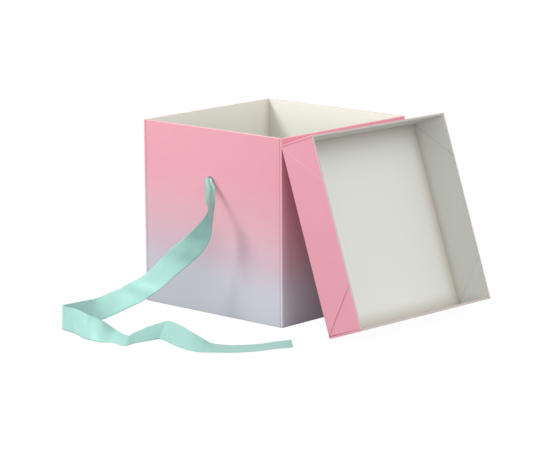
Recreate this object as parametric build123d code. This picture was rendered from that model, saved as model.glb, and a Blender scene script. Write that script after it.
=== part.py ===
from build123d import *
from math import cos, radians, sin, tan
import os

# Flower box: an open square box of paper-covered greyboard, a loose lid whose front
# and back sides fold in on corner gussets, and a satin ribbon knotted through the front.
# Millimetres. The origin is on the floor under the middle of the box. -Y is the ribbon
# side, +X is the side that the lid leans against, +Z is up.

# ---- Box ----
BOX_SIDE = 200.0          # outside, square in plan
BOX_HEIGHT = 200.0        # floor to rim
BOX_BOARD = 2.5           # greyboard of the walls and the base
PAPER = 0.25              # printed wrap and plain lining
CREASE = 0.5              # width of the open groove between two boards
WRAP_LIFT = 0.5           # the wrap is trimmed this far above the walls' feet

# ---- Folding base ----
BASE_FIT = 0.5            # clearance from each wall
BASE_LIFT = 0.3           # the fold line's height above the tape on the base
TAPE = 0.2                # paper hinge tape, thickness
TAPE_REACH = 18.0         # how far the tape is glued down on each side

# ---- Ribbon hole ----
HOLE_R = 3.0
HOLE_X = -2.0             # sideways from the middle of the wall
HOLE_DROP = 54.0          # from the rim to the hole's centre, below the closed lid's edge

# ---- Lid ----
LID_FIT = 0.4             # clearance on each side of the box
LID_BOARD = 1.6           # thinner board than the box's
LID_DEPTH = 46.5          # outside, face to rim

# ---- How the lid leans on the box ----
LEAN = 19.4               # degrees from upright
TURN = -2.2               # degrees in plan, so that its front corner is the one touching
LEAN_GAP = 0.3            # from the box's side
LID_FRONT_Y = -104.2      # where the lid's front corner stands

# ---- Ribbon ----
RIBBON_WIDTH = 25.0
RIBBON_THICK = 0.6
KNOT_R = 6.0
KNOT_LENGTH = 9.0
STEM_R = 2.2              # the ribbon gathered into a bunch where it goes through the hole
KNOT_GAP = 0.3            # from the lining

WALL = BOX_BOARD + 2 * PAPER
LID_WALL = LID_BOARD + 2 * PAPER
LID_SIDE = BOX_SIDE + 2 * (LID_FIT + LID_WALL)
HALF = BOX_SIDE / 2
INNER = HALF - WALL
HOLE_Z = BOX_HEIGHT - HOLE_DROP

# The ribbon's course, from the hole to its cut end, drawn for a 25 mm ribbon that leaves a
# hole 146 mm above the floor. Each station is the middle of the ribbon (x from the hole,
# distance out from the front wall, z), how wide it is spread there, the compass heading
# that its upper edge leans towards and how far it leans from upright, in degrees.
DRAWN_WIDTH = 25.0
DRAWN_HOLE_Z = 146.0
DRAWN_REST_Z = 14.0       # below this height the ribbon lies or stands on the floor
RIBBON_ROUTE = [
    (0, 3.4, 146, 5, 180, 90),
    (0, 4.6, 146, 5, 180, 90),
    (5.5, 7.5, 143.2, 8, 205, 89),
    (11.5, 11.6, 138.8, 11, 235, 86),
    (19.4, 20.5, 129, 13, 262, 79),
    (24, 24.5, 121, 17, 288, 70),
    (25, 26.7, 111.7, 22, 296, 51),
    (22.2, 27, 102.3, 25, 281, 35),
    (18, 29.3, 94.3, 25, 257, 31),
    (11, 33.7, 84, 25, 232, 30),
    (0, 41, 72, 25, 207, 34),
    (-10.5, 50, 60, 25, 187, 42),
    (-25, 63, 41.5, 25, 173, 48),
    (-37.5, 74, 31, 25, 167, 46),
    (-55, 89.5, 19.5, 25, 164, 42),
    (-65, 106, 12.8, 25, 152, 28),
    (-67, 130, 12.5, 25, 142, 13),
    (-69, 146, 12.5, 25, 131, 11),
    (-69.5, 153, 12.5, 25, 126, 11),
    (-63, 155, 12.5, 25, 124, 11),
    (-48, 156, 12.5, 25, 113, 14),
    (-18, 167, 13, 25, 102, 20),
    (-3, 162.5, 9.8, 25, 122, 41),
    (6, 153, 5.2, 25, 130, 68),
    (21, 154, 2.9, 25, 128, 78),
    (27, 152.5, 2.6, 25, 129, 80),
    (25, 138, 3.5, 25, 134, 76),
    (29, 122, 5.6, 25, 132, 66),
    (34.5, 109, 7.5, 25, 113, 56),
    (42, 110, 8, 25, 110, 53),
    (67, 119, 8.2, 25, 109, 52),
    (88.5, 124, 6.6, 25, 117, 60),
    (102.5, 122.5, 4.5, 25, 124, 71),
    (112, 116, 2.4, 25, 133, 82),
    (127.5, 101, 1.4, 25, 133, 87),
    (142, 83, 1.4, 25, 134, 88),
    (154, 63, 2.2, 25, 134, 87),
    (161.5, 51.5, 3, 25, 136, 86),
]


def slab(x, y, z):
    """A flat piece between two limits along each axis."""
    size = Box(x[1] - x[0], y[1] - y[0], z[1] - z[0])
    return Pos((x[0] + x[1]) / 2, (y[0] + y[1]) / 2, (z[0] + z[1]) / 2) * size


def hole_through(shape, y_side):
    """The round ribbon hole, punched straight through whatever stands on that side."""
    drill = Pos(HOLE_X, y_side * HALF, HOLE_Z) * Rot(90, 0, 0) * Cylinder(HOLE_R, 4 * WALL)
    return shape - drill


def box_walls():
    """The four walls. The front and back boards stand between the side boards."""
    pieces = {}
    face = HALF - PAPER                       # outer face of the boards
    back_of_board = face - BOX_BOARD          # their inner face
    between = back_of_board - CREASE          # half length of the boards that stand between
    rim = BOX_HEIGHT - PAPER
    for name, side in (("left", -1), ("right", 1)):
        board = slab(limits(back_of_board, face, side), (-face, face), (0, rim))
        outer = slab(limits(back_of_board, HALF, side), (-HALF, HALF), (WRAP_LIFT, BOX_HEIGHT))
        core = slab(limits(0, face, side), (-face, face), (0, rim))
        fold = slab(limits(INNER, back_of_board, side), (-INNER, INNER), (rim, BOX_HEIGHT))
        pieces["board_" + name] = board
        pieces["wrap_" + name] = outer - core + fold
        pieces["lining_" + name] = slab(limits(INNER, back_of_board, side), (-INNER, INNER), (0, rim))
    for name, side in (("front", -1), ("back", 1)):
        board = slab((-between, between), limits(back_of_board, face, side), (0, rim))
        outer = slab((-between, between), limits(INNER, HALF, side), (WRAP_LIFT, BOX_HEIGHT))
        core = slab((-between, between), limits(0, face, side), (0, rim))
        lining = slab((-back_of_board, back_of_board), limits(INNER, back_of_board, side), (0, rim))
        pieces["board_" + name] = hole_through(board, side)
        pieces["wrap_" + name] = hole_through(outer - core, side)
        pieces["lining_" + name] = hole_through(lining, side)
    return pieces


def limits(low, high, side):
    """The same two distances, measured to the plus or the minus side."""
    return (low, high) if side > 0 else (-high, -low)


def base_panel():
    """The loose base: a covered board, taped along its back edge so that it folds up."""
    reach = INNER - BASE_FIT
    hinge_z = WALL + TAPE + BASE_LIFT
    flat = (-reach, reach)
    tape_x = (-reach + TAPE_REACH, reach - TAPE_REACH)
    pieces = {
        "base_wrap": slab(flat, flat, (0, PAPER)),
        "base_board": slab(flat, flat, (PAPER, PAPER + BOX_BOARD)),
        "base_lining": slab(flat, flat, (PAPER + BOX_BOARD, WALL)),
        "base_tape": slab(tape_x, (reach - TAPE_REACH, reach), (WALL, WALL + TAPE)),
        "wall_tape": slab(tape_x, (INNER - TAPE, INNER), (hinge_z, hinge_z + TAPE_REACH)),
    }
    return pieces


def lid_plain_side(side):
    """One of the lid's two plain sides, the foot (z = 0) or the head. Depth runs along +X."""
    def up(low, high):
        return (low, high) if side < 0 else (LID_SIDE - high, LID_SIDE - low)
    rim = LID_DEPTH - PAPER
    start = PAPER + LID_BOARD
    board = slab((start, rim), (PAPER, LID_SIDE - PAPER), up(PAPER, start))
    outer = slab((PAPER, rim), (0, LID_SIDE), up(0, start))
    core = slab((0, rim), (PAPER, LID_SIDE - PAPER), up(PAPER, LID_WALL))
    lining = slab((start, rim), (start, LID_SIDE - start), up(start, LID_WALL))
    turned_out = slab((rim, LID_DEPTH), (0, LID_SIDE), up(0, LID_WALL))
    return board, outer - core, lining + turned_out


def lid_gusset_side(side):
    """One of the sides that fold in: a middle board and two corner gussets, cut at 45 degrees."""
    def across(low, high):
        return (low, high) if side < 0 else (LID_SIDE - high, LID_SIDE - low)
    rim = LID_DEPTH - PAPER
    start = PAPER + LID_BOARD
    low = start + CREASE
    high = LID_SIDE - low
    drop = rim - start
    y_from, y_to = across(PAPER, start)
    middle = [(start, low + CREASE), (start, high - CREASE), (rim, high - CREASE - drop),
              (rim, low + CREASE + drop)]
    foot = [(start, low), (rim, low), (rim, low + drop)]
    head = [(start, high), (rim, high), (rim, high - drop)]
    boards = [prism(outline, y_from, y_to) for outline in (middle, foot, head)]
    inside = (LID_WALL, LID_SIDE - LID_WALL)
    wrap = slab((PAPER, rim), across(0, PAPER), (low, high))
    lining = slab((start, rim), across(start, LID_WALL), inside)
    turned_out = slab((rim, LID_DEPTH), across(0, LID_WALL), inside)
    return boards, wrap, lining + turned_out


def prism(outline, y_from, y_to):
    """A flat board with a straight-edged outline in X and Z, between two depths in Y."""
    face = Plane.XZ.offset(-y_from) * make_face(Polyline(outline, close=True))
    return extrude(face, amount=y_to - y_from, dir=(0, 1, 0))


def lid_pieces():
    """The lid standing upright, its outside face on X = 0 and its open side towards +X."""
    start = PAPER + LID_BOARD
    whole = (0, LID_SIDE)
    inside = (LID_WALL, LID_SIDE - LID_WALL)
    covered = (PAPER, LID_SIDE - PAPER)
    pieces = {
        "lid_wrap_top": slab((0, PAPER), whole, whole),
        "lid_board_top": slab((PAPER, start), covered, covered),
        "lid_lining_top": slab((start, LID_WALL), inside, inside),
    }
    for name, side in (("foot", -1), ("head", 1)):
        board, wrap, lining = lid_plain_side(side)
        pieces["lid_board_" + name] = board
        pieces["lid_wrap_" + name] = wrap
        pieces["lid_lining_" + name] = lining
    for name, side in (("front", -1), ("back", 1)):
        boards, wrap, lining = lid_gusset_side(side)
        pieces["lid_board_" + name] = boards[0]
        pieces["lid_gusset_" + name + "_foot"] = boards[1]
        pieces["lid_gusset_" + name + "_head"] = boards[2]
        pieces["lid_wrap_" + name] = wrap
        pieces["lid_lining_" + name] = lining
    return pieces


def lean_the_lid(pieces):
    """Stand the lid on its foot edge and lean it against the box's right side or its rim."""
    touch_z = min(LID_SIDE * cos(radians(LEAN)), BOX_HEIGHT)
    foot_x = HALF + LEAN_GAP + touch_z * tan(radians(LEAN)) * cos(radians(TURN))
    place = Pos(foot_x, LID_FRONT_Y, 0) * Rot(0, 0, TURN) * Rot(0, -LEAN, 0)
    return {name: place * piece for name, piece in pieces.items()}


def ribbon_middle(x, out, z):
    """Where a station's middle stands, for this box, this hole and this width of ribbon."""
    if z > DRAWN_REST_Z:
        rest = DRAWN_REST_Z * RIBBON_WIDTH / DRAWN_WIDTH
        share = (z - DRAWN_REST_Z) / (DRAWN_HOLE_Z - DRAWN_REST_Z)
        height = rest + share * (HOLE_Z - rest)
    else:
        height = z * RIBBON_WIDTH / DRAWN_WIDTH
    return Vector(HOLE_X + x, -HALF - out, height)


def ribbon():
    """The flat ribbon: one thin band lofted straight from station to station."""
    middles = [ribbon_middle(*station[:3]) for station in RIBBON_ROUTE]
    sections = []
    for number, (spread, heading, lean) in enumerate(station[3:] for station in RIBBON_ROUTE):
        ahead = middles[min(number + 1, len(middles) - 1)]
        behind = middles[max(number - 1, 0)]
        flat = sin(radians(lean))
        across = Vector(flat * cos(radians(heading)), flat * sin(radians(heading)), cos(radians(lean)))
        along = ahead - behind
        along = along - across * along.dot(across)
        section = Plane(origin=middles[number], x_dir=across, z_dir=along)
        sections.append(section * Rectangle(spread * RIBBON_WIDTH / DRAWN_WIDTH, RIBBON_THICK))
    return loft(sections, ruled=True)


def ribbon_knot():
    """The knot inside the front wall, with the bunched ribbon that runs out through the hole."""
    inner_face = -INNER + KNOT_GAP
    stem_end = ribbon_middle(*RIBBON_ROUTE[0][:3]).Y
    reach = inner_face + KNOT_LENGTH / 2 - stem_end
    turned = Rot(90, 0, 0)
    stem = Pos(HOLE_X, stem_end + reach / 2, HOLE_Z) * turned * Cylinder(STEM_R, reach)
    knot = Pos(HOLE_X, inner_face + KNOT_LENGTH / 2, HOLE_Z) * turned * Cylinder(KNOT_R, KNOT_LENGTH)
    return stem + fillet(knot.edges().filter_by(GeomType.CIRCLE), KNOT_LENGTH * 0.3)


parts = {**box_walls(), **base_panel(), **lean_the_lid(lid_pieces())}
parts["ribbon"] = ribbon()
parts["ribbon_knot"] = ribbon_knot()

os.makedirs("parts", exist_ok=True)
for name, piece in parts.items():
    export_step(piece, "parts/" + name + ".step")
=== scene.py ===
"""Flower box: a square box wrapped in printed paper, its loose lid and a satin ribbon.

The printed wraps, the linings, the hinge tape, the ribbon and its knot are made here round
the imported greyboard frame. Sizes are in millimetres and are scaled to metres as a mesh is
made. +Z is up, -Y is the ribbon side and +X is the side that the lid leans against.
"""

import math

import bmesh
import bpy
from mathutils import Matrix, Vector, noise


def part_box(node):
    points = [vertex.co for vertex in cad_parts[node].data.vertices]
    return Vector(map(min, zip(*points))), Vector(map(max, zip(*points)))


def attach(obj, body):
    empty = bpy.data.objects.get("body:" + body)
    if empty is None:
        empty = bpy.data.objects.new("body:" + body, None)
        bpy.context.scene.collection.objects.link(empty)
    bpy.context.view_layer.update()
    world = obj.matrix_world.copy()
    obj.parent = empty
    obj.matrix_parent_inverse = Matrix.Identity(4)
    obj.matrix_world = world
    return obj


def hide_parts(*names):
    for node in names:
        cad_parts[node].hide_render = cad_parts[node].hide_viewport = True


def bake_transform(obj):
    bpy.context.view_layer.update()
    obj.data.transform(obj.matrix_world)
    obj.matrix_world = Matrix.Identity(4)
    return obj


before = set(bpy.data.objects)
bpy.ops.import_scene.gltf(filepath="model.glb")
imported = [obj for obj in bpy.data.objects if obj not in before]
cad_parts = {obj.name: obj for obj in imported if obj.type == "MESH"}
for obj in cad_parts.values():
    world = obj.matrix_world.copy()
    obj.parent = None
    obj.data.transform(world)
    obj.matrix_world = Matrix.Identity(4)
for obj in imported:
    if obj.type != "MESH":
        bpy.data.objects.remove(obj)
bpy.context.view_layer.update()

MM = 0.001

# ---- Box and lid, outside sizes ----
BOX_HALF = 100.0
BOX_HEIGHT = 200.0
BOX_WALL = 3.0
WRAP_TRIM = 0.5           # the wrap stops this far above the walls' feet
PAPER = 0.25
LID_HALF = 102.5
LID_DEPTH = 46.5
LID_WALL = 2.1
LEAN = math.radians(19.4)
TURN = math.radians(-2.2)
LEAN_GAP = 0.3
LID_FRONT_Y = -104.2

# ---- Ribbon hole ----
HOLE_X = -2.0
HOLE_Z = 146.0
HOLE_R = 3.0

# ---- Folds and creases ----
FOLD_ROUND = 0.5          # paper folded over a board's edge
GROOVE = ((-0.65, 0.0), (-0.25, 0.4), (0.0, 1.0), (0.25, 0.4), (0.65, 0.0))
GROOVE_DEEP = 0.4
CREASE_WIDE = 1.4
CREASE_DEEP = 0.4

# ---- Hinge tape ----
TAPE_THICK = 0.16
TAPE_BEND = 0.9           # radius of the bend between the back wall and the base

# ---- Ribbon ----
RIBBON_WIDTH = 25.0
RIBBON_THICK = 0.3
SELVEDGE = 0.9
GATHER_HEIGHT = 0.45      # the most that a gather stands up
# The ribbon's course from its stem in the hole to its cut end: the middle (x, y, z), how wide
# it is spread, the heading that its upper edge leans towards and its lean from upright.
RIBBON_ROUTE = (
    (-2, -92.5, 146.8, 4.5, 200, 90),
    (-2, -98, 147.2, 5, 200, 90),
    (-2, -102.6, 147.4, 7, 205, 90),
    (-0.5, -104.6, 146.6, 7.5, 212, 90),
    (3.5, -107.5, 143.2, 8, 228, 88),
    (9.5, -111.6, 138.8, 11, 248, 85),
    (17.4, -120.5, 129, 13, 262, 79),
    (22, -124.5, 121, 17, 288, 70),
    (23, -126.7, 111.7, 22, 296, 51),
    (20.2, -127, 102.3, 25, 281, 35),
    (16, -129.3, 94.3, 25, 257, 31),
    (9, -133.7, 84, 25, 232, 30),
    (-2, -141, 72, 25, 207, 34),
    (-12.5, -150, 60, 25, 187, 42),
    (-27, -163, 41.5, 25, 173, 48),
    (-39.5, -174, 31, 25, 167, 46),
    (-57, -189.5, 19.5, 25, 164, 42),
    (-67, -206, 12.8, 25, 152, 28),
    (-69, -230, 12.5, 25, 142, 13),
    (-71, -246, 12.5, 25, 131, 11),
    (-71.5, -253, 12.5, 25, 126, 11),
    (-65, -255, 12.5, 25, 124, 11),
    (-50, -256, 12.5, 25, 113, 14),
    (-20, -267, 13, 25, 102, 20),
    (-5, -262.5, 9.8, 25, 122, 41),
    (4, -253, 5, 25, 130, 68),
    (19, -254, 2.8, 25, 128, 78),
    (25, -252.5, 2.5, 25, 129, 80),
    (23, -238, 3.4, 25, 134, 76),
    (27, -222, 5.3, 25, 132, 66),
    (32.5, -209, 7.3, 25, 113, 56),
    (40, -210, 7.8, 25, 110, 53),
    (65, -219, 8, 25, 109, 52),
    (86.5, -224, 6.6, 25, 117, 60),
    (100.5, -222.5, 4.3, 25, 124, 71),
    (110, -216, 2.2, 25, 133, 82),
    (125.5, -201, 1.2, 25, 133, 87),
    (140, -183, 1.2, 25, 134, 88),
    (152, -163, 2.2, 25, 134, 87),
    (159.5, -151.5, 3, 25, 136, 86),
)
# Ridges and hollows left from its packet: how far along, slant, reach and height.
SWELLS = (
    (88, 0.9, 9, -0.8), (108, 0.8, 10, 0.9), (128, 0.7, 8, -0.5), (171, 0.8, 8, 1.1),
    (186, 0.6, 9, -0.8), (214, -0.5, 10, 0.6), (300, 0.5, 9, 0.6), (328, -0.6, 10, -0.6),
    (390, 0.4, 9, 0.4), (455, 0.5, 12, -0.4), (520, -0.4, 14, 0.4),
)
# Stations where the ribbon turns sharply, as it does where it was folded in its packet.
RIBBON_CREASES = (20, 23, 26, 27, 30, 34)

# ---- Knot ----
KNOT_LOOP = 1.22
KNOT_DEPTH = 2.1
KNOT_STRAND = 2.15        # radius of the gathered ribbon in the knot
KNOT_INSET = 4.4          # from the knot's inner end to its middle


# ======================================================================================
# Finishes
# ======================================================================================

def ink(red, green, blue, depth=1.0):
    """A printed colour, given as it looks on a screen, as the linear colour a shader takes."""
    def linear(level):
        """One channel, from 0 to 255 on a screen."""
        level /= 255
        return level / 12.92 if level <= 0.04045 else ((level + 0.055) / 1.055) ** 2.4
    return tuple(linear(level) * depth for level in (red, green, blue)) + (1.0,)


class Signal:
    """The output of a node. Arithmetic on signals adds the Math nodes it needs."""

    def __init__(self, finish, socket):
        self.finish = finish
        self.socket = socket

    def maths(self, operation, first, second=0.0, clamp=False):
        """The signal that a Math node gives."""
        settings = {"operation": operation, "use_clamp": clamp}
        return self.finish.node("ShaderNodeMath", settings, {0: first, 1: second})

    def __add__(self, other):
        return self.maths("ADD", self, other)

    __radd__ = __add__

    def __sub__(self, other):
        return self.maths("SUBTRACT", self, other)

    def __rsub__(self, other):
        return self.maths("SUBTRACT", other, self)

    def __mul__(self, other):
        return self.maths("MULTIPLY", self, other)

    __rmul__ = __mul__

    def __abs__(self):
        return self.maths("ABSOLUTE", self)

    def larger(self, other):
        """The larger of the two."""
        return self.maths("MAXIMUM", self, other)

    def smaller(self, other):
        """The smaller of the two."""
        return self.maths("MINIMUM", self, other)

    def near(self, place, reach):
        """1 where the signal is at that place, falling to 0 at that reach from it."""
        return self.maths("SUBTRACT", 1.0, abs(self - place) * (1 / reach), clamp=True)

    def past(self, place, reach):
        """0 up to that place, rising to 1 over that reach."""
        return self.maths("MULTIPLY", self - place, 1 / reach, clamp=True)


class Finish:
    """One material: its Principled shader and the nodes that feed it."""

    def __init__(self, name, **constants):
        self.material = bpy.data.materials.new(name)
        self.material.use_nodes = True
        self.tree = self.material.node_tree
        self.shader = self.tree.nodes["Principled BSDF"]
        for socket, value in constants.items():
            self.shader.inputs[socket.replace("_", " ")].default_value = value

    def node(self, kind, settings=None, inputs=None, output=0):
        """Add a node. Its settings are set first, then the values or links of its sockets."""
        made = self.tree.nodes.new(kind)
        for name, value in (settings or {}).items():
            if name == "stops":
                self.set_stops(made.color_ramp, value)
            else:
                setattr(made, name, value)
        for socket, value in (inputs or {}).items():
            self.feed(made.inputs[socket], value)
        return Signal(self, made.outputs[output])

    def feed(self, target, value):
        """Link a signal to a socket, or set the socket to a value."""
        if isinstance(value, Signal):
            self.tree.links.new(value.socket, target)
        else:
            target.default_value = value

    @staticmethod
    def set_stops(ramp, stops):
        """Fill a colour ramp with (place, colour) stops."""
        while len(ramp.elements) < len(stops):
            ramp.elements.new(1.0)
        for element, (place, colour) in zip(ramp.elements, stops):
            element.position = place
            element.color = colour

    def places(self):
        """The point on the piece, in metres, as three signals and as a vector."""
        point = self.node("ShaderNodeTexCoord", output="Object")
        x = self.node("ShaderNodeSeparateXYZ", None, {0: point}, "X")
        outputs = x.socket.node.outputs
        return (x, Signal(self, outputs["Y"]), Signal(self, outputs["Z"]), point)

    def carried(self, name):
        """A value that the mesh carries."""
        return self.node("ShaderNodeAttribute", {"attribute_name": name}, None, "Fac")

    def cloud(self, point, size_mm, detail=2.0, roughness=0.5):
        """Soft noise about 0.5, with features of that size."""
        inputs = {"Vector": point, "Scale": 1 / (size_mm * MM), "Detail": detail,
                  "Roughness": roughness}
        return self.node("ShaderNodeTexNoise", None, inputs, "Fac")

    def stretched(self, point, stretch):
        """The point scaled along each axis, so that noise runs in streaks."""
        settings = {"operation": "MULTIPLY"}
        return self.node("ShaderNodeVectorMath", settings, {0: point, 1: stretch})

    def mix(self, share, first, second):
        """A colour mixed from two by that share."""
        settings = {"data_type": "RGBA"}
        return self.node("ShaderNodeMix", settings, {0: share, 6: first, 7: second}, 2)

    def colour(self, value):
        """Set the piece's colour."""
        self.feed(self.shader.inputs["Base Color"], value)

    def roughness(self, value):
        """Set how matt the piece is."""
        self.feed(self.shader.inputs["Roughness"], value)

    def relief(self, height, distance_mm, strength=1.0):
        """Fine relief that the mesh doesn't carry."""
        inputs = {"Height": height, "Distance": distance_mm * MM, "Strength": strength}
        self.feed(self.shader.inputs["Normal"], self.node("ShaderNodeBump", None, inputs))


# The print, by height above the floor in millimetres.
OMBRE = (
    (0, (222, 225, 237)),
    (32, (219, 220, 231)),
    (50, (224, 210, 222)),
    (62, (229, 200, 213)),
    (78, (234, 193, 207)),
    (92, (237, 186, 198)),
    (108, (240, 180, 193)),
    (122, (241, 174, 188)),
    (150, (240, 166, 180)),
    (200, (239, 165, 179)),
)
PRINT_DEPTH = 0.80
CREAM_DEPTH = 0.85
PINK = (235, 159, 174)
CREAM = (231, 229, 220)
LID_CREAM = (227, 228, 222)
MINT = (167, 219, 209)
# Lighter paper at the folds: partly bare paper where the ink wore off, partly painted highlight.
BARE_AND_LIT_PAPER = (240, 226, 224)


def paper_grain(finish, point, strength=0.25):
    """The faint tooth of coated paper, and the slow change in its gloss."""
    tooth = finish.cloud(point, 0.35, 3.0, 0.6)
    finish.relief(tooth, 0.02, strength)
    finish.roughness(finish.cloud(point, 9.0) * 0.12 + 0.5)


def printed_paper(name, stops, depth, fold_lines, slant=0.0):
    """Matt coated paper. It lightens towards bare paper at the sharp folds, partly wear and partly
    painted highlight, and painted shade darkens it down in the grooves.
    """
    finish = Finish(name, Specular_IOR_Level=0.35)
    x, y, z, point = finish.places()
    drift = (finish.cloud(point, 55.0, 3.0) - 0.5) * 0.012
    fade = z + drift + (x - y - 2 * BOX_HALF * MM) * slant
    level = fade * (1 / (stops[-1][0] * MM))
    ramp_stops = [(place / stops[-1][0], ink(*colour, depth)) for place, colour in stops]
    print_colour = finish.node("ShaderNodeValToRGB", {"stops": ramp_stops}, {0: level})
    mottle = finish.cloud(point, 22.0, 4.0, 0.6)
    print_colour = finish.mix(mottle * 0.05, print_colour, ink(255, 244, 246, depth))
    fleck = finish.cloud(point, 0.8, 2.0).past(0.56, 0.1) * 0.05
    wear_and_highlight, painted_groove_shade = fold_lines(x, y, z)
    # Patchy lightening at the folds: partly wear, partly painted highlight.
    patchy_wear_and_highlight = wear_and_highlight * (finish.cloud(point, 3.0, 3.0) * 0.3)
    print_colour = finish.mix(patchy_wear_and_highlight.larger(fleck), print_colour, ink(*BARE_AND_LIT_PAPER, depth))
    # Painted shade: a dark pink darkens the print down in the grooves.
    finish.colour(finish.mix(painted_groove_shade * 0.6, print_colour, ink(150, 92, 106, depth)))
    paper_grain(finish, point)
    return finish.material


def box_folds(x, y, z):
    """Where the box's wrap is lightened (at its upright edges and rim: partly wear, partly painted
    highlight) and where painted shade darkens it (its grooves).
    """
    half, rim = BOX_HALF * MM, BOX_HEIGHT * MM
    edge = 0.9 * MM
    corner = abs(x).past(half - edge, edge) * abs(y).past(half - edge, edge)
    top = z.past(rim - edge, edge) * abs(x).larger(abs(y)).past(half - edge, edge)
    # The grooves beside the upright corners, where the print gets painted shade.
    groove = abs(x).near(half - BOX_WALL * MM, 0.7 * MM) * abs(y).past(half - edge, edge / 2)
    return corner.larger(top), groove


def lid_folds(x, y, z):
    """The same on the lid, which is measured from its outside face, front and foot."""
    side = 2 * LID_HALF * MM
    edge = 0.9 * MM
    from_foot = z.smaller(side - z)
    from_front = y.smaller(side - y)
    corner = from_foot.near(0.0, edge) * from_front.near(0.0, edge)
    arris = x.near(0.0, edge) * from_foot.smaller(from_front).near(0.0, edge)
    on_gusset_side = from_front.near(0.0, edge)
    # The grooves along the gusset sides, where the print gets painted shade.
    groove = from_foot.near(LID_WALL * MM, 0.7 * MM) * on_gusset_side
    # Lighter lines along the 45-degree creases, much lighter towards the head: partly bared ink,
    # partly painted highlight.
    crease = (from_foot - LID_WALL * MM - x).near(0.0, 0.55 * MM) * on_gusset_side
    headward = z.past(side / 2, 1 * MM) * 0.9 + 0.25
    return corner.larger(arris).larger(crease * headward * 3.0), groove


def box_corner_shade(x, y, z):
    """How near a point of the box's lining is to an upright corner, for the painted shade there."""
    inner = (BOX_HALF - BOX_WALL) * MM
    return abs(x).near(inner, 14 * MM) * abs(y).near(inner, 14 * MM)


def lid_corner_shade(x, y, z):
    """How near a point of the lid's lining is to the fold round its face, for the painted shade
    there.
    """
    side, wall = 2 * LID_HALF * MM, LID_WALL * MM
    from_side = y.smaller(side - y).smaller(z.smaller(side - z))
    return x.near(wall, 11 * MM) * from_side.near(wall, 20 * MM)


def lining_paper(name, corners=None, cream=CREAM, corner_shade_share=0.5):
    """Off-white uncoated paper, a little fibrous, with warm painted shade in its corners and
    painted shade on its rim.
    """
    finish = Finish(name, Specular_IOR_Level=0.2)
    x, y, z, point = finish.places()
    blotch = finish.cloud(point, 30.0, 3.0) * 0.10
    tint = finish.mix(blotch, ink(*cream, CREAM_DEPTH), ink(222, 216, 202, CREAM_DEPTH))
    fibre = finish.cloud(finish.stretched(point, (1.0, 0.45, 1.6)), 0.7, 4.0, 0.65)
    tint = finish.mix(fibre.past(0.6, 0.15) * 0.10, tint, ink(206, 200, 186, CREAM_DEPTH))
    if corners is not None:
        # Painted shade: a warm brown darkens the lining towards its corners.
        fold = corners(x, y, z)
        tint = finish.mix(fold * fold * corner_shade_share, tint, ink(182, 158, 134, CREAM_DEPTH))
    # Painted shade: the rim's top is darkened to a pinkish grey, so that its lit top doesn't show
    # as a bright line.
    finish.colour(finish.mix(finish.carried("rim") * 0.8, tint, ink(224, 204, 198, 0.66)))
    finish.relief(finish.cloud(point, 0.5, 4.0, 0.6), 0.03, 0.3)
    finish.roughness(finish.cloud(point, 6.0) * 0.1 + 0.72)
    return finish.material


def greyboard():
    """Solid pressed grey pulp with darker and lighter fibres."""
    finish = Finish("greyboard_core", Specular_IOR_Level=0.2)
    point = finish.node("ShaderNodeTexCoord", output="Object")
    pulp = finish.cloud(point, 0.9, 5.0, 0.7)
    base = finish.mix(pulp, ink(132, 127, 119), ink(188, 182, 171))
    specks = finish.cloud(point, 0.45, 2.0).past(0.64, 0.05)
    finish.colour(finish.mix(specks * 0.6, base, ink(82, 76, 70)))
    finish.relief(pulp, 0.08, 0.6)
    finish.roughness(pulp * 0.15 + 0.8)
    return finish.material


def satin():
    """Mint satin: long bright floats along the ribbon, a matt woven selvedge, and painted shade on
    the stem by the hole and on the tail.
    """
    finish = Finish("mint_satin", Specular_IOR_Level=0.4, Sheen_Weight=0.08,
                    Sheen_Roughness=0.35, Anisotropic=0.4)
    across, along = finish.carried("across"), finish.carried("along")
    point = finish.node("ShaderNodeTexCoord", output="Object")
    edge = RIBBON_WIDTH / 2 - SELVEDGE
    selvedge = abs(across).past(edge, 0.15)
    threads = finish.node("ShaderNodeCombineXYZ", None, {0: across * 5.0, 1: along * 0.25})
    float_tone = finish.node("ShaderNodeTexNoise", None,
                             {"Vector": threads, "Scale": 1.0, "Detail": 2.0}, "Fac")
    tone = finish.mix(float_tone, ink(*MINT, 0.70), ink(*MINT, 0.86))
    faded = finish.cloud(point, 18.0, 2.0) * 0.10
    tone = finish.mix(faded, tone, ink(206, 238, 231, 0.86))
    # Painted shade: the stem near the hole, over its first 48 to 74 mm, and the ribbon past 335 to
    # 385 mm along are darkened to a dull mint.
    painted_ribbon_shade = along.past(335.0, 50.0).larger(1.0 - along.past(48.0, 26.0))
    tone = finish.mix(painted_ribbon_shade * 0.8, tone, ink(150, 198, 188, 0.7))
    finish.colour(finish.mix(selvedge * 0.45, tone, ink(142, 200, 188, 0.78)))
    rib = finish.node("ShaderNodeMath", {"operation": "SINE"}, {0: along * 9.0})
    finish.relief(float_tone + rib * 0.15 * selvedge, 0.05, 0.5)
    finish.roughness(0.40 + selvedge * 0.25 + float_tone * 0.10)
    return finish.material


# ======================================================================================
# Making pieces
# ======================================================================================

def new_object(name, bm, finish):
    """A new object with that finish, from a mesh in millimetres."""
    mesh = bpy.data.meshes.new(name)
    bm.to_mesh(mesh)
    bm.free()
    mesh.transform(Matrix.Scale(MM, 4))
    mesh.shade_smooth()
    mesh.materials.append(finish)
    made = bpy.data.objects.new(name, mesh)
    bpy.context.scene.collection.objects.link(made)
    return made


def build(name, bm, finish, body, nodes, place=None, weighted=True):
    """Turn a mesh in millimetres into a named piece on its body, in place of CAD nodes."""
    bmesh.ops.recalc_face_normals(bm, faces=bm.faces)
    made = new_object(name, bm, finish)
    if weighted:
        weigh_normals(made)
    if place is not None:
        made.matrix_world = place
    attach(made, body)
    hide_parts(*nodes)
    return made


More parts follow.
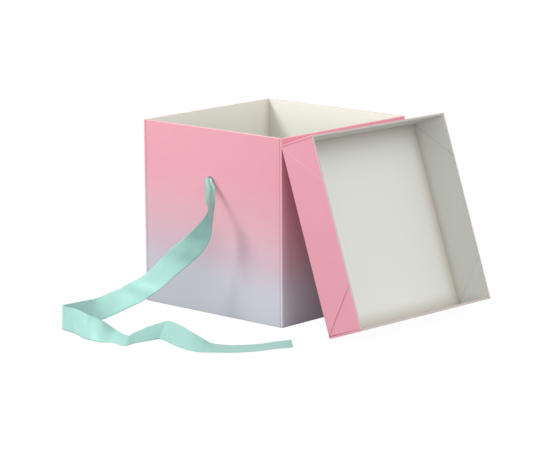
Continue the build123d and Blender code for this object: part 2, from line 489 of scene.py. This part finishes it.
def settle(made):
    """Apply every modifier on a piece."""
    shown = made.evaluated_get(bpy.context.evaluated_depsgraph_get())
    mesh = bpy.data.meshes.new_from_object(shown)
    made.modifiers.clear()
    made.data = mesh


def thicken(made, thickness):
    """Give a sheet its thickness in millimetres, half on each side."""
    thick = made.modifiers.new("thickness", "SOLIDIFY")
    thick.thickness = thickness * MM
    thick.offset = 0.0
    settle(made)


def weigh_normals(made):
    """Keep big flat faces flat beside small rounded edges."""
    weighted = made.modifiers.new("flat_faces", "WEIGHTED_NORMAL")
    weighted.weight = 100
    weighted.keep_sharp = True
    settle(made)


def square_loop(half, inset, groove_at=None, groove_share=0.0, least_round=0.08):
    """Points round a square outline with rounded corners.

    The sides that face -v and +v dip into a groove that far in from each corner.
    """
    edge = half - inset
    corner = max(FOLD_ROUND - inset, least_round)
    dips = []
    if groove_at is not None:
        for middle in (-half + groove_at, half - groove_at):
            dips += [(middle + along, dip * GROOVE_DEEP * groove_share) for along, dip in GROOVE]
    points = []
    for turn in range(4):
        cos, sin = ((1, 0), (0, 1), (-1, 0), (0, -1))[turn]
        run = [(along, -edge + dip) for along, dip in dips] if turn % 2 == 0 else []
        for step in range(5):
            angle = math.radians(22.5 * step)
            run.append((edge - corner + corner * math.sin(angle),
                        -edge + corner - corner * math.cos(angle)))
        points += [(u * cos - v * sin, u * sin + v * cos) for u, v in run]
    return points


def join_rows(bm, rows, round_each=True):
    """Faces between rows of equally many points, which run all the way round or stop."""
    for first, second in zip(rows, rows[1:]):
        count = len(first)
        for i in range(count if round_each else count - 1):
            j = (i + 1) % count
            bm.faces.new((first[i], first[j], second[j], second[i]))


def skin(loops, closed=False, caps=False):
    """A mesh through loops of equally many points."""
    bm = bmesh.new()
    rows = [[bm.verts.new(point) for point in loop] for loop in loops]
    join_rows(bm, rows + [rows[0]] if closed else rows)
    if caps:
        bm.faces.new(rows[0])
        bm.faces.new(rows[-1])
    return bm


def mark(bm, name, chosen):
    """Store 1 at the chosen points of a mesh, for its finish to read."""
    layer = bm.verts.layers.float.new(name)
    for vert in bm.verts:
        vert[layer] = 1.0 if chosen(vert.co) else 0.0


def crease(bm, normal, start, end, width, depth):
    """Press a crease from start to end into the flat side that faces along normal."""
    normal, start, end = Vector(normal), Vector(start), Vector(end)
    across = normal.cross(end - start).normalized()

    def on_side(face):
        """True for a face of that flat side."""
        return face.normal.dot(normal) > 0.99 and abs((face.verts[0].co - start).dot(normal)) < 0.05

    for offset in (-width / 2, 0.0, width / 2):
        bm.normal_update()
        faces = [face for face in bm.faces if on_side(face)]
        edges = list({edge for face in faces for edge in face.edges})
        verts = list({vert for face in faces for vert in face.verts})
        parts = faces + edges + verts
        bmesh.ops.bisect_plane(bm, geom=parts, dist=1e-4, plane_co=start + across * offset,
                               plane_no=across)
    for vert in bm.verts:
        away = vert.co - start
        if abs(away.dot(normal)) < 0.05 and abs(away.dot(across)) < 1e-3:
            along = away.dot((end - start).normalized())
            if -1.0 < along < (end - start).length + 1.0:
                vert.co -= normal * depth


def punch(made, radius, middle, axis_length):
    """Punch a round hole along Y through a piece."""
    drill_bm = bmesh.new()
    bmesh.ops.create_cone(drill_bm, cap_ends=True, segments=48, radius1=radius * MM,
                          radius2=radius * MM, depth=axis_length * MM)
    mesh = bpy.data.meshes.new("drill")
    drill_bm.to_mesh(mesh)
    drill_bm.free()
    drill = bpy.data.objects.new("drill", mesh)
    bpy.context.scene.collection.objects.link(drill)
    drill.matrix_world = (Matrix.Translation(Vector(middle) * MM)
                          @ Matrix.Rotation(math.radians(90), 4, "X"))
    bpy.context.view_layer.update()
    cut = made.modifiers.new("punch", "BOOLEAN")
    cut.operation = "DIFFERENCE"
    cut.solver = "EXACT"
    cut.object = drill
    settle(made)
    bpy.data.objects.remove(drill)


# ======================================================================================
# Box
# ======================================================================================

def standing_loop(inset, height, groove_share=0.0, least_round=0.08):
    """A level loop round the box at that height."""
    loop = square_loop(BOX_HALF, inset, BOX_WALL, groove_share, least_round)
    return [(u, v, height) for u, v in loop]


def make_box_wrap(finish):
    """The printed wrap: one sheet round all four walls, rolled over the rim."""
    under = BOX_HEIGHT - PAPER
    profile = (
        (PAPER, WRAP_TRIM, 0.0), (0.05, WRAP_TRIM, 1.0), (0.0, WRAP_TRIM + 0.1, 1.0),
        (0.0, BOX_HEIGHT - 0.5, 1.0), (0.06, BOX_HEIGHT - 0.22, 0.9),
        (0.2, BOX_HEIGHT - 0.07, 0.6), (0.45, BOX_HEIGHT, 0.3), (0.9, BOX_HEIGHT, 0.0),
        (BOX_WALL - 0.35, BOX_HEIGHT, 0.0), (BOX_WALL - 0.08, BOX_HEIGHT - 0.06, 0.0),
        (BOX_WALL, BOX_HEIGHT - 0.18, 0.0), (BOX_WALL, under, 0.0), (PAPER, under, 0.0),
    )
    bm = skin([standing_loop(*row) for row in profile], closed=True)
    nodes = ["wrap_front", "wrap_back", "wrap_left", "wrap_right"]
    made = build("printed_wrap", bm, finish, "box", nodes)
    for side in (-1, 1):
        punch(made, HOLE_R, (HOLE_X, side * BOX_HALF, HOLE_Z), 4.0)


def make_box_lining(finish):
    """The plain lining: one sheet round the inside of the walls, turned out over the rim."""
    outer, inner, top = BOX_WALL - PAPER, BOX_WALL, BOX_HEIGHT
    profile = ((outer, 0.0), (inner, 0.0), (inner + 0.02, top - 0.12), (inner - 0.1, top + 0.03),
               (0.9, top + 0.03), (0.9, top - 0.02), (outer, top - 0.02))
    bm = skin([standing_loop(inset, height, 0.0, 0.35) for inset, height in profile], closed=True)
    # Marks the turned-out rim for the painted shade that its finish puts there.
    mark(bm, "rim", lambda point: point.z > top + 0.02)
    nodes = ["lining_front", "lining_back", "lining_left", "lining_right"]
    made = build("box_lining", bm, finish, "box", nodes)
    for side in (-1, 1):
        punch(made, HOLE_R, (HOLE_X, side * (BOX_HALF - BOX_WALL), HOLE_Z), 3.0)


def flat_loop(reach, inset, height, least_round=0.3):
    """A level loop round the base panel at that height."""
    return [(u, v, height) for u, v in square_loop(reach, inset, least_round=least_round)]


def make_base_papers(print_finish, lining_finish):
    """The base panel's papers: the print turned up round its edges, the lining on top."""
    reach, turned_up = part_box("base_wrap")[1].x / MM + 0.15, BOX_WALL - PAPER
    profile = ((0.15, PAPER), (0.15, turned_up), (0.0, turned_up), (0.0, 0.3), (0.1, 0.08),
               (0.35, 0.0))
    bm = skin([flat_loop(reach, inset, height) for inset, height in profile], caps=True)
    build("base_print", bm, print_finish, "base_panel", ["base_wrap"])
    low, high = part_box("base_lining")
    reach, under, top = high.x / MM, low.z / MM, high.z / MM
    profile = ((0.0, under), (0.0, top - 0.12), (0.05, top - 0.03), (0.2, top))
    bm = skin([flat_loop(reach, inset, height) for inset, height in profile], caps=True)
    build("base_lining_paper", bm, lining_finish, "base_panel", ["base_lining"])


def make_hinge_tape(finish):
    """One strip of paper tape glued to the back wall and the base, bending at the fold."""
    low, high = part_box("base_tape")
    wall_low, wall_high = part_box("wall_tape")
    left, right = low.x / MM, high.x / MM
    face_y, top_z = wall_low.y / MM + 0.02, wall_high.z / MM
    floor_z, reach_y = high.z / MM - 0.02, low.y / MM
    bend = TAPE_BEND
    line = [(face_y, top_z), (face_y, 14.0), (face_y, 9.0)]
    for step in range(7):
        angle = math.radians(15 * step)
        line.append((face_y - bend + bend * math.cos(angle),
                     floor_z + bend - bend * math.sin(angle)))
    line += [(92.0, floor_z), (86.0, floor_z), (reach_y, floor_z)]
    columns = 24
    bm = bmesh.new()
    rows = []
    for y, z in line:
        rows.append([bm.verts.new((left + (right - left) * i / columns, y, z))
                     for i in range(columns + 1)])
    join_rows(bm, rows, round_each=False)
    tape = new_object("hinge_tape", bm, finish)
    thicken(tape, TAPE_THICK)
    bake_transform(tape)
    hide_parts("wall_tape", "base_tape")


# ======================================================================================
# Lid
# ======================================================================================

def lid_place():
    """Where the lid stands: on its foot edge, its head leaning on the box."""
    foot_x = BOX_HALF + LEAN_GAP + 2 * LID_HALF * math.sin(LEAN) * math.cos(TURN)
    return (Matrix.Translation(Vector((foot_x, LID_FRONT_Y, 0.0)) * MM)
            @ Matrix.Rotation(TURN, 4, "Z") @ Matrix.Rotation(-LEAN, 4, "Y"))


def lid_loop(inset, depth, groove_share=0.0, least_round=0.08):
    """A loop round the lid: depth along X, front to back along Y, foot to head along Z."""
    loop = square_loop(LID_HALF, inset, LID_WALL, groove_share, least_round)
    return [(depth, LID_HALF + v, LID_HALF + u) for u, v in loop]


def crease_gussets(bm, side_y, facing, first, last, inset, head_depth=CREASE_DEEP):
    """The four 45-degree folds that let the front and back sides fold in."""
    size = 2 * LID_HALF
    for y, way in ((side_y, facing), (size - side_y, -facing)):
        for foot, up, depth in ((inset, 1, CREASE_DEEP), (size - inset, -1, head_depth)):
            start = (first, y, foot + up * first)
            end = (last, y, foot + up * last)
            crease(bm, (0, way, 0), start, end, CREASE_WIDE, depth)


def make_lid_wrap(finish, place):
    """The lid's print: one sheet over its face and four sides."""
    rim = LID_DEPTH - PAPER
    profile = (
        (PAPER, PAPER, 0.0), (PAPER, rim, 0.0), (0.0, rim, 1.0), (0.0, FOLD_ROUND, 1.0),
        (0.07, 0.2, 0.9), (0.2, 0.07, 0.6), (FOLD_ROUND, 0.0, 0.0),
    )
    bm = skin([lid_loop(*row) for row in profile], caps=True)
    bmesh.ops.recalc_face_normals(bm, faces=bm.faces)
    crease_gussets(bm, 0.0, -1, 0.0, rim, LID_WALL, -0.1)
    nodes = ["lid_wrap_" + part for part in ("top", "foot", "head", "front", "back")]
    build("lid_print", bm, finish, "lid", nodes, place)


def make_lid_lining(finish, place):
    """The lid's lining: inside all five faces and turned out over the rim."""
    rim = LID_DEPTH - PAPER
    hidden = LID_WALL - PAPER
    profile = (
        (hidden, hidden), (hidden, rim), (0.0, rim), (-0.02, LID_DEPTH - 0.1),
        (0.1, LID_DEPTH), (LID_WALL - 0.2, LID_DEPTH), (LID_WALL, LID_DEPTH - 0.2),
        (LID_WALL, LID_WALL + 0.5), (LID_WALL + 0.15, LID_WALL + 0.15), (LID_WALL + 0.5, LID_WALL),
    )
    bm = skin([lid_loop(inset, depth, 0.0, 0.3) for inset, depth in profile], caps=True)
    bmesh.ops.recalc_face_normals(bm, faces=bm.faces)
    # Marks the turned-out rim for the painted shade that its finish puts there.
    mark(bm, "rim", lambda point: point.x > LID_DEPTH - 0.05)
    crease_gussets(bm, LID_WALL, 1, LID_WALL, LID_DEPTH - 0.2, 0.0)
    nodes = ["lid_lining_" + part for part in ("top", "foot", "head", "front", "back")]
    build("lid_lining", bm, finish, "lid", nodes, place)


# ======================================================================================
# Ribbon
# ======================================================================================

def cross_direction(heading, lean):
    """Which way the ribbon's upper edge points."""
    heading, lean = math.radians(heading), math.radians(lean)
    flat = math.sin(lean)
    return Vector((flat * math.cos(heading), flat * math.sin(heading), math.cos(lean)))


def eased(values, knots, at, creased=()):
    """A smooth curve through vectors at uneven knots, which turns sharply at a crease."""
    last = len(values) - 1
    i = max(k for k in range(last) if knots[k] <= at or k == 0)
    span = knots[i + 1] - knots[i]
    t = (at - knots[i]) / span

    def slope(k):
        """How fast the values change at a knot."""
        low, high = max(k - 1, 0), min(k + 1, last)
        if k in creased:
            low, high = (i, i + 1)
        return (values[high] - values[low]) * (1 / (knots[high] - knots[low]))

    a, b = values[i], values[i + 1]
    return (a * (2 * t ** 3 - 3 * t ** 2 + 1) + slope(i) * (span * (t ** 3 - 2 * t ** 2 + t))
            + b * (3 * t ** 2 - 2 * t ** 3) + slope(i + 1) * (span * (t ** 3 - t ** 2)))


def pleat(spread, across, gathers):
    """How far a point stands off the mean plane where the ribbon is gathered narrow.

    The gathers stay shallow, so they take up only part of the width that is missing.
    """
    slack = max(0.0, 1 - (spread / RIBBON_WIDTH) ** 2)
    height = RIBBON_WIDTH / (2 * math.pi * gathers) * math.sqrt(2 * slack)
    wave = math.sin(2 * math.pi * gathers * across / RIBBON_WIDTH + 0.6)
    return min(height, GATHER_HEIGHT) * wave


def swell(at, across, middle, slant, reach, height):
    """A soft ridge or hollow that crosses the ribbon at a slant."""
    away = (at - middle - slant * across) / reach
    return height * math.exp(-away * away)


def risen(at, start, reach):
    """0 up to that start, rising to 1 over that reach."""
    return min(1.0, max(0.0, (at - start) / reach))


def make_ribbon(finish):
    """The satin ribbon: out of the hole, down to the floor on its edge, and along it."""
    middles = [Vector(station[:3]) for station in RIBBON_ROUTE]
    spreads = [Vector((station[3], 0, 0)) for station in RIBBON_ROUTE]
    crosses = [cross_direction(*station[4:]) for station in RIBBON_ROUTE]
    knots = [0.0]
    for first, second in zip(middles, middles[1:]):
        knots.append(knots[-1] + (second - first).length)
    length = knots[-1]
    steps, columns = 420, 24
    centre = [eased(middles, knots, length * s / steps, RIBBON_CREASES) for s in range(steps + 1)]
    bm = bmesh.new()
    across_layer = bm.verts.layers.float.new("across")
    along_layer = bm.verts.layers.float.new("along")
    rows = []
    for step in range(steps + 1):
        at = length * step / steps
        ahead = centre[min(step + 1, steps)] - centre[max(step - 1, 0)]
        side = eased(crosses, knots, at, RIBBON_CREASES)
        side = side.normalized()
        face = side.cross(ahead).normalized()
        spread = min(eased(spreads, knots, at).x, RIBBON_WIDTH)
        gathers = 1.7 - 0.6 * risen(at, 14, 34)
        free = risen(at, 45, 40)
        row = []
        for column in range(columns + 1):
            across = RIBBON_WIDTH * (column / columns - 0.5)
            lift = pleat(spread, across, gathers)
            lift += free * 0.5 * noise.noise(Vector((at * 0.045, across * 0.05, 3.1)))
            lift += free * 0.22 * noise.noise(Vector((at * 0.11, across * 0.12, 8.7)))
            lift += sum(swell(at, across, *shape) for shape in SWELLS)
            point = centre[step] + side * (across * spread / RIBBON_WIDTH) + face * lift
            point.z = max(point.z, 0.3)
            vert = bm.verts.new(point)
            vert[across_layer] = across
            vert[along_layer] = at
            row.append(vert)
        rows.append(row)
    join_rows(bm, rows, round_each=False)
    made = new_object("satin_ribbon", bm, finish)
    thicken(made, RIBBON_THICK)
    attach(made, "box")
    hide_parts("ribbon")
    return made, length


def tube(path, radius, ridges, sides=28):
    """A gathered strand: a tube with ridges along it, closed at both ends."""
    bm = bmesh.new()
    across_layer = bm.verts.layers.float.new("across")
    along_layer = bm.verts.layers.float.new("along")
    rows, travelled = [], 0.0
    up = Vector((0.3, 1.0, 0.2)).normalized()
    for index, point in enumerate(path):
        ahead = (path[min(index + 1, len(path) - 1)] - path[max(index - 1, 0)]).normalized()
        up = (up - ahead * up.dot(ahead)).normalized()
        side = ahead.cross(up)
        if index:
            travelled += (point - path[index - 1]).length
        row = []
        for turn in range(sides):
            angle = 2 * math.pi * turn / sides
            reach = radius * (1 + 0.13 * math.cos(ridges * angle + travelled * 0.12))
            vert = bm.verts.new(point + (side * math.cos(angle) + up * math.sin(angle)) * reach)
            vert[across_layer] = angle * 2.0
            vert[along_layer] = travelled
            row.append(vert)
        rows.append(row)
    join_rows(bm, rows)
    bm.faces.new(rows[0])
    bm.faces.new(rows[-1])
    return bm


def make_knot(finish):
    """The overhand knot that stops the ribbon inside the front wall."""
    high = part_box("ribbon_knot")[1]
    middle = Vector((HOLE_X, high.y / MM - KNOT_INSET, HOLE_Z))
    path = []
    for step in range(121):
        t = 2 * math.pi * (0.03 + 0.94 * step / 120)
        path.append(middle + Vector((KNOT_LOOP * (math.sin(t) + 2 * math.sin(2 * t)),
                                     -KNOT_DEPTH * math.sin(3 * t),
                                     KNOT_LOOP * (math.cos(t) - 2 * math.cos(2 * t)))))
    bm = tube(path, KNOT_STRAND, 5)
    return build("ribbon_knot_tied", bm, finish, "box", ["ribbon_knot"],
                 weighted=False)


# ======================================================================================
# Stage: camera, light and floor
# ======================================================================================

FLOOR_GREY = 0.3
FLOOR_GLOW = 0.93
# The room's light by direction: from this height to that one, this strength to that one.
ROOM = (0.0, 0.4, 2.0, 0.82)
# Azimuth, elevation and roll in degrees, then distance, aside and above in millimetres, seen
# from the middle of the box.
CAMERA_TURNS = (42.152, 11.288, -0.262)
CAMERA_PLACE = (2812.70, -0.221, -18.103)
CAMERA_LENS = 169.08
# Name, direction of the lamp from the box, distance and width in metres, watts.
LAMPS = (
    ("key", (-0.5, -0.56, 0.7), 2.4, 0.8, 44.0),
    ("fill", (0.75, -0.05, 0.65), 2.6, 1.8, 21.0),
)


def make_camera():
    """Stands in front and to the right, a little above the rim."""
    azimuth, elevation, roll = (math.radians(turn) for turn in CAMERA_TURNS)
    distance, aside, above = CAMERA_PLACE
    back = Vector((math.sin(azimuth) * math.cos(elevation),
                   -math.cos(azimuth) * math.cos(elevation), math.sin(elevation)))
    right = Vector((0, 0, 1)).cross(back).normalized()
    up = back.cross(right)
    place = Vector((0, 0, 100)) + back * distance + right * aside + up * above
    turned_right = right * math.cos(roll) + up * math.sin(roll)
    turned_up = up * math.cos(roll) - right * math.sin(roll)
    camera_data = bpy.data.cameras.new("camera")
    camera_data.sensor_width = 36.0
    camera_data.lens = CAMERA_LENS
    camera_data.clip_end = 60.0
    camera = bpy.data.objects.new("camera", camera_data)
    bpy.context.scene.collection.objects.link(camera)
    axes = Matrix((turned_right, turned_up, back)).transposed().to_4x4()
    camera.matrix_world = Matrix.Translation(place * MM) @ axes
    bpy.context.scene.camera = camera


def soft_light(name, toward, distance, size, power):
    """A round soft lamp that faces the middle of the box."""
    lamp = bpy.data.lights.new(name, "AREA")
    lamp.shape = "DISK"
    lamp.size = size
    lamp.energy = power
    made = bpy.data.objects.new(name, lamp)
    bpy.context.scene.collection.objects.link(made)
    toward = Vector(toward).normalized()
    made.location = Vector((0.0, 0.0, 0.1)) + toward * distance
    made.rotation_mode = "QUATERNION"
    made.rotation_quaternion = toward.to_track_quat("Z", "Y")


def make_floor():
    """A plain pale table top, lit from below like a light table so that shadows stay faint."""
    bm = bmesh.new()
    bmesh.ops.create_grid(bm, x_segments=1, y_segments=1, size=14.0)
    mesh = bpy.data.meshes.new("floor")
    bm.to_mesh(mesh)
    bm.free()
    finish = Finish("pale_floor", Specular_IOR_Level=0.0, Roughness=1.0)
    finish.colour((FLOOR_GREY, FLOOR_GREY, FLOOR_GREY, 1.0))
    glow = finish.node("ShaderNodeEmission", None,
                       {"Color": (1.0, 1.0, 1.0, 1.0), "Strength": 1.05})
    seen = finish.node("ShaderNodeLightPath", None, None, "Is Camera Ray")
    plain = Signal(finish, finish.shader.outputs[0])
    surface = finish.node("ShaderNodeMixShader", None,
                          {0: seen * FLOOR_GLOW, 1: plain, 2: glow})
    finish.feed(finish.tree.nodes["Material Output"].inputs["Surface"], surface)
    mesh.materials.append(finish.material)
    made = bpy.data.objects.new("floor", mesh)
    bpy.context.scene.collection.objects.link(made)
    made.location.z = -0.0002


def make_light():
    """A pale room that is brighter overhead, a key from the left and a broad fill above."""
    world = bpy.data.worlds.new("studio")
    world.use_nodes = True
    nodes, links = world.node_tree.nodes, world.node_tree.links
    nodes["Background"].inputs["Color"].default_value = (1.0, 1.0, 1.0, 1.0)
    place = nodes.new("ShaderNodeTexCoord")
    split = nodes.new("ShaderNodeSeparateXYZ")
    height = nodes.new("ShaderNodeMapRange")
    for socket, value in zip(("From Min", "From Max", "To Min", "To Max"), ROOM):
        height.inputs[socket].default_value = value
    links.new(place.outputs["Generated"], split.inputs[0])
    links.new(split.outputs["Z"], height.inputs["Value"])
    links.new(height.outputs[0], nodes["Background"].inputs["Strength"])
    bpy.context.scene.world = world
    for lamp in LAMPS:
        soft_light(*lamp)
    bpy.context.scene.view_settings.view_transform = "Standard"


make_camera()
make_light()
make_floor()

# The linings get painted shade in their corners, with a share of 0.2 in the box and 0.4 in the lid.
box_cream = lining_paper("box_lining_cream", box_corner_shade, corner_shade_share=0.2)
lid_cream = lining_paper("lid_lining_cream", lid_corner_shade, LID_CREAM, 0.4)
ombre_print = printed_paper("ombre_print", OMBRE, PRINT_DEPTH, box_folds, slant=0.06)
pink_print = printed_paper("pink_print", ((0, PINK), (205, PINK)), PRINT_DEPTH, lid_folds)
plain_tape = lining_paper("tape_paper")
grey_core = greyboard()
mint_satin = satin()

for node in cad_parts.values():
    node.data.materials.clear()
    node.data.materials.append(grey_core)

make_box_wrap(ombre_print)
make_box_lining(box_cream)
make_base_papers(pink_print, box_cream)
make_hinge_tape(plain_tape)
leaning = lid_place()
make_lid_wrap(pink_print, leaning)
make_lid_lining(lid_cream, leaning)
knot = make_knot(mint_satin)
ribbon, ribbon_length = make_ribbon(mint_satin)
